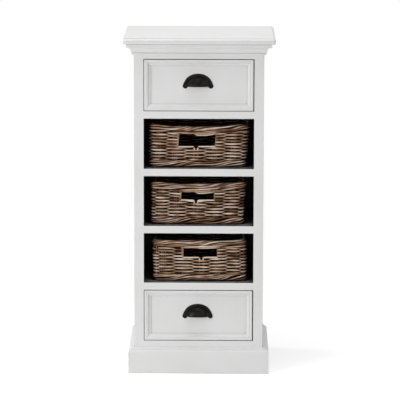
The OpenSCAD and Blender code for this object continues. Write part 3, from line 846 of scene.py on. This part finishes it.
def boss(centre, pull, side):
    """A round boss for a screw: a profile turned about the line out of the panel."""
    x, z = centre[0] + side * pull.screw_span / 2, centre[2] + pull.screw_height
    radius, height = pull.boss_radius, pull.boss_height
    bevel, tip = 0.6 * MM, 0.01 * MM
    profile = np.array([[tip, 0], [radius, 0], [radius, height - bevel],
                        [radius - bevel, height], [tip, height]])
    turn = np.linspace(0, 2 * math.pi, 25)[:-1]
    ring, out = profile[:, :1], profile[:, 1:]
    points = np.stack([x + ring * np.cos(turn), np.broadcast_to(centre[1] - out, (5, 24)),
                       z + ring * np.sin(turn)], -1)
    return outward(surface(points, False, True, np.linspace(0, 2 * height, 5),
                           np.linspace(0, 6 * radius, 25), capped=True))


# Baskets

def outline(s, half_x, half_y, radius):
    """Place and outward direction at a distance s round a rounded rectangle, from the
    middle of its front and to the right, and how far along its side that is, -1 to 1.
    Four straight runs and four quarter circles follow each other."""
    runs = np.array([2 * (half_x - radius), math.pi / 2 * radius,
                     2 * (half_y - radius), math.pi / 2 * radius] * 2)
    starts = np.concatenate([[0.0], np.cumsum(runs)])
    s = np.mod(s + runs[0] / 2, starts[-1])
    k = np.clip(np.searchsorted(starts, s, side="right") - 1, 0, 7)
    t = s - starts[k]
    side, in_corner = k // 2, k % 2 == 1
    angle = side * math.pi / 2 + np.where(in_corner, t / radius, 0)
    heading = np.stack([np.cos(angle), np.sin(angle)], -1)
    out = np.stack([np.sin(angle), -np.cos(angle)], -1)
    ax, ay = half_x - radius, half_y - radius
    corners = np.array([[ax, -ay], [ax, ay], [-ax, ay], [-ax, -ay]])
    centre = np.where(in_corner[..., None], corners[side], corners[side - 1])
    run = np.where(in_corner, 0, t)[..., None]
    share = np.where(in_corner, 1.0, 2 * t / runs[k] - 1)
    return centre + radius * out + run * heading, out, share


class Basket:
    """One basket: the sizes that its pieces share, read from its CAD nodes. Its hole is
    made higher by half the sag, which pulls the strands over the hole down again."""

    def __init__(self, level):
        cane = settings("basket")
        index = LEVELS.index(level)
        self.stem = "basket_" + level
        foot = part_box(self.stem + "_foot")
        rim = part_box(self.stem + "_rim")
        middle = (foot[0] + foot[1]) / 2
        self.centre = np.array([middle.x, middle.y, foot[0].z])
        inset = cane.wall_in + cane.wall / 2
        self.half_x = (foot[1].x - foot[0].x) / 2 - inset
        self.half_y = (foot[1].y - foot[0].y) / 2 - inset
        self.radius = cane.corner - inset
        self.foot = foot[1].z - foot[0].z
        self.height = rim[1].z - foot[0].z
        self.rim_low = rim[0].z - foot[0].z
        self.flare = (rim[1].x - rim[0].x) / 2 - cane.roll - self.half_x
        self.round = 4 * (self.half_x + self.half_y - 2 * self.radius)
        self.round += 2 * math.pi * self.radius
        self.sag, self.wave = cane.sag[index], cane.wave[index]
        self.sway, self.droop = cane.sway[index], cane.droop[index]
        self.rng = np.random.default_rng(cane.seed + index)
        self.phases = self.rng.uniform(0, 2 * math.pi, 6)
        self.hole_foot = self.height - cane.hole_drop[index] - cane.hole_height[index]
        self.hole_top = self.hole_foot + cane.hole_height[index] + self.sag / 2
        self.hole_left = cane.hole_shift[index] - cane.hole_width[index] / 2
        self.hole_right = self.hole_left + cane.hole_width[index]
        self.gap = (self.hole_left - 2 * MM, self.hole_right + 2 * MM)
        self.notch = cane.hole_shift[index] + cane.notch_shift[index]
        self.stakes = self.place_stakes(np.array(getattr(cane, level + "_stakes")))

    def place_stakes(self, front):
        """Distances of the stakes: those seen at the front, and the rest evenly round, an
        even number in all, so that every second row swings the other way."""
        rest = self.round - (front[-1] - front[0])
        count = 2 * round((rest / settings("basket").stake_spacing - 2) / 2) + 1
        step = rest / (count + 1)
        return np.concatenate([front, front[-1] + step * (np.arange(count) + 1)])

    def swing(self, s):
        """1 where the strands of every second row are outermost, -1 where the others are,
        and between two stakes a steep wave from one to the other."""
        n = len(self.stakes)
        known = np.concatenate([self.stakes + turn * self.round for turn in (-1, 0, 1)])
        phase = np.interp(s, known, np.arange(-n, 2 * n))
        return np.tanh(1.8 * np.cos(math.pi * phase)) / math.tanh(1.8)

    def waver(self, s, times):
        """A wave that runs a whole number of times round, from a random start."""
        return np.sin(2 * math.pi * times * s / self.round + self.rng.uniform(0, 6))

    def place(self, s, out, z):
        """Points at distance s round the wall, `out` from its middle and z up. The wall
        flares from foot to rim and leans to one side, its rim sags between the corners and
        waves along them, and its rows ripple."""
        plan, normal, share = outline(s, self.half_x, self.half_y, self.radius)
        up = np.clip((z - self.foot) / (self.rim_low - self.foot), 0, 1)
        turn = 2 * math.pi * s / self.round
        p = self.phases
        bulge = np.sin(3 * turn + p[0]) + 0.6 * np.sin(7 * turn + p[1] + 9 * up)
        reach = out + self.flare * up + 0.5 * MM * bulge * np.sin(math.pi * up)
        high = np.clip(z / self.height, 0, 1) ** 4
        free = 1 - share ** 2
        crest, wave_length = 28 * MM, 165 * MM
        wave = self.wave * free * np.cos(2 * math.pi * (s - crest) / wave_length)
        ripple = 0.6 * MM * np.sin(5 * turn + p[2] + 3 * up) * np.sin(math.pi * up)
        xy = self.centre[:2] + plan + normal * reach[..., None]
        xy[..., 0] += self.sway * (np.clip(z / self.height, 0, 1) - 0.5)
        rise = self.centre[2] + z + high * (wave - self.sag * free) + ripple
        return np.concatenate([xy, rise[..., None]], -1)


def even_stain(amount):
    """The same painted shade all round a strand."""
    return lambda out, up: np.full((1, len(out)), amount)


def tube(centres, hint, half_out, half_up, sides, closed, tone, stain, shift=0.0):
    """A strand of oval section carried along its centres. Its first axis is square to the
    path and `hint`, and points out where the path runs to the right. The function that
    gives the painted shade of its points takes the cosine and sine of the angles round
    the section."""
    if closed:
        ahead = np.roll(centres, -1, 0) - np.roll(centres, 1, 0)
    else:
        ahead = np.gradient(centres, axis=0)
    ahead /= np.linalg.norm(ahead, axis=1, keepdims=True)
    out = np.cross(ahead, hint)
    out /= np.linalg.norm(out, axis=1, keepdims=True)
    up = np.cross(out, ahead)
    a = np.linspace(0, 2 * math.pi, sides + 1)
    cos, sin = np.cos(a[:-1]), np.sin(a[:-1])
    half_out, half_up = (np.broadcast_to(half, len(centres))[:, None, None]
                         for half in (half_out, half_up))
    ring = (out[:, None] * half_out * cos[None, :, None]
            + up[:, None] * half_up * sin[None, :, None])
    along = shift + running_length(centres)
    girth = a * float(np.mean(half_out + half_up)) / 2
    tone = np.asarray(tone)
    tone = tone[:, None] if tone.ndim else tone
    return outward(surface(centres[:, None] + ring, closed, True,
                           along if closed else along[:-1], girth, tone, stain(cos, sin),
                           capped=not closed))


def strand_tone(rng, s, length):
    """A strand's own tone plus a slow drift along it: five sines of random height."""
    waves = sum(rng.normal(0, 0.1) * np.sin(2 * math.pi * k * s / length + rng.uniform(0, 6))
                for k in (3, 7, 13, 19, 31))
    return np.clip(rng.normal(0.47, 0.16) + waves, 0, 1)


def weave_stain(swing):
    """Painted shade on a weaving strand that swings out (1) and in (-1): a smooth step where
    its side faces the inside of the wall, and some below, above and at the back."""
    def stain(out, up):
        deep = eased((0.25 - swing[:, None] * out[None]) / 0.8)
        below = 0.6 * np.clip(-up, 0, 1) ** 2
        above = 0.3 * np.clip(up, 0, 1) ** 5
        inner = 0.5 * np.clip(-out, 0, 1)
        return np.clip(deep + (below + above + inner)[None], 0, 1)
    return stain


def weavers(b):
    """The rows of the wall. Each strand swings out and in round the stakes, and every
    second row swings the other way. Rows that meet the hole or its notch end there. A flat
    core strand runs straight along the middle of each row and closes the weave."""
    cane = settings("basket")
    rows = round((b.rim_low - b.foot) / cane.row_pitch)
    pitch = (b.rim_low - b.foot) / rows
    shapes = []
    for row in range(rows):
        z = b.foot + pitch * (row + 0.5)
        gap = None
        if b.hole_foot < z < b.hole_top:
            gap = b.gap
        elif b.hole_foot - cane.notch_depth + 2 * MM < z <= b.hole_foot:
            gap = (b.notch - cane.notch_width / 3, b.notch + cane.notch_width / 3)
        closed = gap is None
        first, last = (0.0, b.round) if closed else (gap[1], b.round + gap[0])
        s = np.linspace(first, last, int((last - first) / (3.6 * MM)), endpoint=not closed)
        swing = b.swing(s) * (1 if row % 2 else -1)
        wobble = b.rng.normal(0, 0.3 * MM)
        for wave_length in (0.23, 0.13, 0.07):
            wobble = wobble + 0.32 * MM * b.waver(s, round(b.round / wave_length))
        centres = b.place(s, cane.swing * swing, z + wobble)
        tight = 1 - 0.34 * (1 - swing ** 2)
        thick = b.rng.uniform(0.88, 1.12)
        grow = 1 + 0.06 * b.waver(s, round(b.round / 0.11))
        # Each strand gets painted shade where it passes behind the stakes, below and at the
        # back
        shapes.append(tube(
            centres, UPWARD, cane.strand_depth / 2 * grow,
            cane.strand_width / 2 * thick * tight * grow, 8, closed,
            strand_tone(b.rng, s, b.round), weave_stain(swing), b.rng.uniform(0, 3)))
        # The core strand is dark all over with painted shade
        core = b.place(s[::2], np.full(len(s[::2]), -cane.core_set), z + wobble[::2])
        shapes.append(tube(core, UPWARD, cane.core / 2, 0.48 * pitch, 6, closed, 0.3,
                           even_stain(1.0)))
    return shapes


def upright(b, s, low, high, width, depth, tone, lean, stain=0.4):
    """An upright cane between two heights, `width` along the wall and `depth` through it."""
    share = np.linspace(-1, 1, 26)
    centres = b.place(s + lean * share, np.zeros(26), np.linspace(low, high, 26))
    normal = outline(np.array([s]), b.half_x, b.half_y, b.radius)[1][0]
    # The cane gets an even painted shade all round
    return tube(centres, (*normal, 0.0), width / 2, depth / 2, 8, False, tone,
                even_stain(stain), b.rng.uniform(0, 3))


def stakes(b):
    """The upright canes, three to a stake, with a wider upright at each side of the hole
    and the two canes of the notch, which bend outwards to edge the hole."""
    cane = settings("basket")
    shapes = []
    tuck, side_depth = 5 * MM, 9 * MM
    notch_stake = np.argmin(np.abs(b.stakes - b.notch))
    for k, s in enumerate(b.stakes):
        for step in (-1, 0, 1):
            place = s + step * cane.cane_gap + b.rng.normal(0, 0.5 * MM)
            high = b.rim_low + tuck
            if k == notch_stake and step == 0:
                continue
            if b.gap[0] < place < b.gap[1]:
                below = cane.notch_depth + 6 * MM if k == notch_stake else 1 * MM
                high = b.hole_foot - below
            shapes.append(upright(b, place, b.foot - tuck, high, cane.cane, cane.cane,
                                  b.rng.uniform(0.45, 0.9), b.rng.normal(0, 0.6 * MM)))
    # The uprights at the sides of the hole get painted shade, more at the right
    for s, wide, stain in ((b.hole_left - 0.6 * cane.side_cane, 1.25, 0.42),
                           (b.hole_right + 0.3 * cane.side_cane, 0.6, 0.55)):
        shapes.append(upright(b, s, b.hole_foot - side_depth, b.hole_top + tuck,
                              wide * cane.side_cane, side_depth, 0.5, 0.3 * MM, stain))
    shapes += [notch_cane(b, side, end) for side, end in zip((-1, 1), b.gap)]
    return shapes + slack_strands(b)


def notch_cane(b, side, end):
    """One cane of the notch: up behind the weave, out through it by a smooth step just
    below the hole, a quarter turn, and along the lower edge of the hole to its side."""
    cane = settings("basket")
    bend, out = 5 * MM, 3.4 * MM
    upright_at = b.notch + side * cane.notch_width / 2
    level = b.hole_foot - cane.edge_cane / 2 + 1.2 * MM
    a = np.linspace(0, math.pi / 2, 9)
    s = np.concatenate([np.full(24, upright_at), upright_at + side * bend * (1 - np.cos(a)),
                        np.linspace(upright_at + side * bend, end, 22)[1:]])
    z = np.concatenate([np.linspace(b.foot - 5 * MM, level - bend, 25)[:-1],
                        level - bend + bend * np.sin(a), np.full(21, level)])
    lift = eased((z - (level - 17 * MM)) / (9 * MM))
    thick = cane.cane + (cane.edge_cane - cane.cane) * lift
    # The notch cane gets only a little painted shade
    return tube(b.place(s, out * lift, z), (0.0, -1.0, 0.0), thick / 2, thick / 2, 8,
                False, 0.95, even_stain(0.05), b.rng.uniform(0, 3))


def slack_strands(b):
    """Two strands over the hole that hang slack: from the middle on, each falls by the
    basket's droop along a smooth step, and climbs back at the hole's right edge. Their
    ends thin out and pass behind the weave."""
    count = 60
    s = np.linspace(b.hole_left - 14 * MM, b.hole_right + 20 * MM, count)
    share = (s - b.hole_left) / (b.hole_right - b.hole_left)
    fall = eased((share - 0.38) / 0.14) * (1 - eased((share - 0.72) / 0.45))
    from_end = np.minimum(np.arange(count), np.arange(count)[::-1])
    ends = np.clip(from_end / 10, 0, 1)
    shapes = []
    for lift, part in ((1.6 * MM, 1.0), (5.6 * MM, 0.55)):
        z = b.hole_top + lift - part * b.droop * fall
        centres = b.place(s, 4.4 * MM * ends - 1.6 * MM, z)
        # Their backs and undersides get painted shade
        shapes.append(tube(centres, UPWARD, 2.5 * MM, (1.6 + 1.2 * ends) * MM, 8, False,
                           0.35 + 0.4 * fall * part, border_stain(np.zeros(count)),
                           b.rng.uniform(0, 3)))
    return shapes


def border_stain(turn):
    """Painted shade on a border strand that stands at angle `turn` round the border's core:
    none on its outermost side, full where it lies against the others, and some below."""
    def stain(out, up):
        facing = np.cos(turn)[:, None] * out[None] + np.sin(turn)[:, None] * up[None]
        below = 0.35 * np.clip(-up, 0, 1)[None] ** 2 + 0.5 * np.clip(-out, 0, 1)[None]
        return np.clip(np.clip(1.2 - 1.6 * facing, 0, 1) + below, 0, 1)
    return stain


def twisted(b, count, lay, out, z, swing_out, swing_up, half, stray=0.4):
    """Strands twisted round a line about the basket: each one turns about that line, out
    by swing_out and up by swing_up, a whole number of times in one round. The twist runs
    faster here and slower there, by `stray`, and each strand stands off by its own wavering
    amount."""
    turns = max(1, round(b.round / lay))
    s = np.linspace(0, b.round, int(b.round / (3.8 * MM)), endpoint=False)
    uneven = sum(stray * b.waver(s, k) for k in (3, 5, 8))
    shapes = []
    for k in range(count):
        own = 0.25 * b.waver(s, 6)
        turn = 2 * math.pi * (turns * s / b.round + k / count) + uneven + own
        slack = 1 + 0.13 * b.waver(s, round(b.round / 0.2))
        centres = b.place(s, out + swing_out * slack * np.cos(turn),
                          z + swing_up * slack * np.sin(turn))
        thick = half * b.rng.uniform(0.88, 1.08)
        # Each strand gets painted shade where it lies against the others and below
        shapes.append(tube(centres, UPWARD, thick, thick, 8, True,
                           strand_tone(b.rng, s, b.round), border_stain(turn),
                           b.rng.uniform(0, 3)))
    return shapes


def rolled_rim(b):
    """The rolled border: five strands twisted round the edge, over one twined pair."""
    cane = settings("basket")
    reach = cane.roll - cane.rim_strand
    band = b.height - b.rim_low - 2 * cane.roll
    return (twisted(b, 5, cane.rim_lay, 0.0, b.height - cane.roll, reach, reach,
                    cane.rim_strand)
            + twisted(b, 2, cane.rim_lay, 0.0, b.rim_low + band / 2, 3 * MM, band * 0.3,
                      3.1 * MM))


def twisted_foot(b):
    """The border of the foot: seven strands wound in a tall flat twist."""
    cane = settings("basket")
    half = b.foot / 2
    return twisted(b, 7, cane.foot_lay, 0.4 * MM, half, 4 * MM, half - cane.foot_strand,
                   cane.foot_strand, 0.2)


def woven_base(b):
    """The base: strips across, over and under pairs of sticks that run from front to back.
    A strip's height is a cosine of its way, and every second strip is the other way up."""
    cane = settings("basket")
    low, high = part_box(b.stem + "_base")
    centre, z = (low + high) / 2, (low.z + high.z) / 2
    half_x, half_y = (high.x - low.x) / 2 + 2 * MM, (high.y - low.y) / 2
    stick, strip, pair = 30 * MM, 8.2 * MM, 4.4 * MM
    shapes = []
    for k, y in enumerate(np.arange(-half_y + strip / 2, half_y, strip)):
        x = np.linspace(-half_x, half_x, 70)
        rise = 1.3 * MM * np.cos(math.pi * (x / stick + k % 2))
        centres = np.stack([centre.x + x, np.full(70, centre.y + y), z + rise], -1)
        shapes.append(tube(centres, (0.0, 1.0, 0.0), 1.4 * MM, 4.2 * MM, 6, False,
                           strand_tone(b.rng, x, half_x), even_stain(0.0),
                           b.rng.uniform(0, 3)))
    y = np.linspace(-half_y, half_y, 30)
    for x in np.arange(-half_x + stick / 2 + 2 * MM, half_x - 4 * MM, stick):
        for off in (-pair / 2, pair / 2):
            centres = np.stack([np.full(30, centre.x + x + off), centre.y + y,
                                np.full(30, z)], -1)
            shapes.append(tube(centres, UPWARD, cane.cane / 2, cane.cane / 2, 6, False,
                               b.rng.uniform(0.3, 0.6), even_stain(0.0)))
    return shapes


# Stage

def place_camera(stage):
    """A long lens in front of the unit and a little above it, as in the photograph: yaw
    turns it left, pitch down, and roll turns the picture about its own middle."""
    yaw, pitch, roll = stage.turn
    ahead = Vector((-math.sin(yaw) * math.cos(pitch), math.cos(yaw) * math.cos(pitch),
                    -math.sin(pitch)))
    level = Vector((math.cos(yaw), math.sin(yaw), 0))
    upward = level.cross(ahead)
    right = math.cos(roll) * level + math.sin(roll) * upward
    up = math.cos(roll) * upward - math.sin(roll) * level
    data = bpy.data.cameras.new("camera")
    data.lens = stage.lens
    data.sensor_width = 36
    data.clip_end = 200
    camera = bpy.data.objects.new("camera", data)
    bpy.context.scene.collection.objects.link(camera)
    turn = Matrix((right, up, -ahead)).transposed().to_4x4()
    camera.matrix_world = Matrix.Translation(stage.place) @ turn
    bpy.context.scene.camera = camera


def add_softbox(name, place, size, power):
    """A square area light aimed at the middle of the unit."""
    data = bpy.data.lights.new(name, "AREA")
    data.size = size
    data.energy = power
    light = bpy.data.objects.new(name, data)
    bpy.context.scene.collection.objects.link(light)
    aim = Vector((0, 0, 0.6)) - Vector(place)
    light.matrix_world = (Matrix.Translation(place)
                          @ aim.to_track_quat("-Z", "Y").to_matrix().to_4x4())


def seen_directly(tree):
    """1 for rays that come from the camera, or by way of gloss or glass, and else 0."""
    path = add_node(tree, "LightPath")
    seen = path.outputs["Is Camera Ray"]
    for ray in ("Is Glossy Ray", "Is Transmission Ray"):
        seen = add_node(tree, "Math", {0: seen, 1: path.outputs[ray]}, operation="MAXIMUM")
    return seen


def lay_floor():
    """A wide floor, pale paper near the unit and pure white background further off."""
    material, tree = new_material("seamless_paper")
    place = add_node(tree, "TexCoord").outputs["Object"]
    far = add_node(tree, "VectorMath", {0: place}, operation="LENGTH")
    fade = add_node(tree, "MapRange", {
        "Value": far, "From Min": 0.45, "From Max": 1.3}, interpolation_type="SMOOTHSTEP")
    paper = add_node(tree, "BsdfDiffuse", {"Color": linear("#f2f2f2")})
    lift, glow = (add_node(tree, "Emission", {
        "Color": WHITE, "Strength": strength}) for strength in (0.42, 1.0))
    near = add_node(tree, "AddShader", {0: paper, 1: lift})
    shown = add_node(tree, "MixShader", {0: fade, 1: near, 2: glow})
    final = add_node(tree, "MixShader", {0: seen_directly(tree), 1: paper, 2: shown})
    add_node(tree, "OutputMaterial", {"Surface": final})
    reach = 30.0
    corners = [(x * reach, y * reach, 0) for x, y in ((-1, -1), (1, -1), (1, 1), (-1, 1))]
    mesh = bpy.data.meshes.new("floor")
    mesh.from_pydata(corners, [], [(0, 1, 2, 3)])
    mesh.materials.append(material)
    floor = bpy.data.objects.new("floor", mesh)
    bpy.context.scene.collection.objects.link(floor)


def light_world(ambient):
    """Even light from all round, with a pure white background where it is seen."""
    world = bpy.data.worlds.new("studio")
    world.use_nodes = True
    bpy.context.scene.world = world
    tree = world.node_tree
    tree.nodes.clear()
    even, white = (add_node(tree, "Background", {
        "Color": WHITE, "Strength": strength}) for strength in (ambient, 1.0))
    both = add_node(tree, "MixShader", {0: seen_directly(tree), 1: even, 2: white})
    add_node(tree, "OutputWorld", {"Surface": both})


# Operators and panel

class UNIT_OT_case(bpy.types.Operator):
    """Boards of the case and the face frame, with eased edges and satin paint"""

    bl_idname = "basket_unit.case"
    bl_label = "Case"

    def execute(self, context):
        for node in CASE_BOARDS:
            paint = paint_along(longest_axis(node), "inside")
            board_from(node, node + "_painted", paint, "carcass")
        piece = new_piece("face_frame_painted", [face_frame()], paint_along("z", "frame"),
                          "carcass", FRAME_BOARDS, BOARD_ARRIS)
        ease_edges(piece, settings("paint").ease)
        for node in BARE_BOARDS:
            board_from(node, node + "_pine", pine_along("y"), "carcass")
        return {"FINISHED"}


class UNIT_OT_trim(bpy.types.Operator):
    """Top board with its beaded edge, cornice and plinth"""

    bl_idname = "basket_unit.trim"
    bl_label = "Top, cornice and plinth"

    def execute(self, context):
        new_piece("top_board_painted", [beaded_top()], paint_along("x"), "carcass",
                  ["top_board"], MOULDING_ARRIS)
        front_and_sides("cornice", cornice_section())
        front_and_sides("plinth", plinth_section())
        return {"FINISHED"}


class UNIT_OT_drawers(bpy.types.Operator):
    """Drawer fronts with their mitred mouldings, and the pine boxes behind them"""

    bl_idname = "basket_unit.drawers"
    bl_label = "Drawers"

    def execute(self, context):
        for level in DRAWERS:
            stem = "drawer_" + level
            board_from(stem + "_front", stem + "_panel_painted", paint_along("x"), stem)
            piece = new_piece(stem + "_moulding_painted", drawer_moulding(stem),
                              paint_along("x"), stem, [stem + "_moulding"],
                              MOULDING_ARRIS)
            ease_edges(piece, 0.3 * MM)
            for part in DRAWER_BOARDS:
                node = f"{stem}_{part}"
                board_from(node, node + "_pine", pine_along(longest_axis(node)), stem)
        return {"FINISHED"}


class UNIT_OT_pulls(bpy.types.Operator):
    """Cast cup pulls with a rope edge, and the screws that hold them"""

    bl_idname = "basket_unit.pulls"
    bl_label = "Cup pulls"

    def execute(self, context):
        pull = settings("pull")
        metal = shared_material("cast_iron", cast_iron)
        for level in DRAWERS:
            stem = "drawer_" + level
            low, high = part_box(stem + "_cup_pull")
            centre = ((low.x + high.x) / 2, high.y, low.z)
            radius = (high.x - low.x) / 2
            shapes = cup(centre, pull, radius - pull.flange_width, high.y - low.y)
            shapes.append(flange(centre, pull, radius))
            shapes += [boss(centre, pull, side) for side in (-1, 1)]
            new_piece(stem + "_cast_pull", shapes, metal, stem,
                      [stem + "_cup_pull"], CAST_ARRIS)
            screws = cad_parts[stem + "_pull_screws"]
            screws.data.materials.clear()
            screws.data.materials.append(metal)
        return {"FINISHED"}


class UNIT_OT_baskets(bpy.types.Operator):
    """Three baskets woven strand by strand: wall, stakes, rim, foot and base"""

    bl_idname = "basket_unit.baskets"
    bl_label = "Baskets"

    def execute(self, context):
        cane = shared_material("kubu_cane", kubu_cane)
        makers = {weavers: "wall", stakes: "wall", rolled_rim: "rim", twisted_foot: "foot",
                  woven_base: "base"}
        for level in LEVELS:
            b = Basket(level)
            for make, node in makers.items():
                new_piece(f"{b.stem}_{make.__name__}", make(b), cane, b.stem,
                          [f"{b.stem}_{node}"])
        return {"FINISHED"}


class UNIT_OT_stage(bpy.types.Operator):
    """Pale floor and backdrop, soft studio light and the camera"""

    bl_idname = "basket_unit.stage"
    bl_label = "Stage"

    def execute(self, context):
        stage = settings("stage")
        place_camera(stage)
        lay_floor()
        for name, (place, size) in SOFTBOXES.items():
            add_softbox(name + "_light", place, size, getattr(stage, name))
        light_world(stage.ambient)
        return {"FINISHED"}


class UNIT_PT_panel(bpy.types.Panel):
    """Lists the pieces of the unit and their settings"""

    bl_idname = "UNIT_PT_panel"
    bl_label = "Basket Storage Unit"
    bl_space_type = "VIEW_3D"
    bl_region_type = "UI"
    bl_category = "Basket Unit"

    def draw(self, context):
        for operator in OPERATORS:
            self.layout.operator(operator.bl_idname)
        for name, group in GROUPS.items():
            box = self.layout.box()
            box.label(text=name.capitalize())
            for key in group.__annotations__:
                box.prop(settings(name), key)


GROUPS = {
    "paint": PaintSettings, "trim": TrimSettings, "pull": PullSettings,
    "basket": BasketSettings, "wood": WoodSettings, "stage": StageSettings,
}
OPERATORS = (UNIT_OT_case, UNIT_OT_trim, UNIT_OT_drawers, UNIT_OT_pulls, UNIT_OT_baskets,
             UNIT_OT_stage)


def register():
    """Registers the settings, operators and panel."""
    for name, group in GROUPS.items():
        bpy.utils.register_class(group)
        setattr(bpy.types.Scene, "basket_unit_" + name, PointerProperty(type=group))
    for operator in OPERATORS:
        bpy.utils.register_class(operator)
    bpy.utils.register_class(UNIT_PT_panel)


def unregister():
    """Takes them away again."""
    bpy.utils.unregister_class(UNIT_PT_panel)
    for operator in reversed(OPERATORS):
        bpy.utils.unregister_class(operator)
    for name, group in GROUPS.items():
        delattr(bpy.types.Scene, "basket_unit_" + name)
        bpy.utils.unregister_class(group)


def main():
    """Builds every piece, then the stage."""
    register()
    for operator in OPERATORS:
        group, name = operator.bl_idname.split(".")
        getattr(getattr(bpy.ops, group), name)()
    bpy.context.scene.view_settings.view_transform = "Standard"
    bpy.context.view_layer.update()


if __name__ == "__main__":
    main()
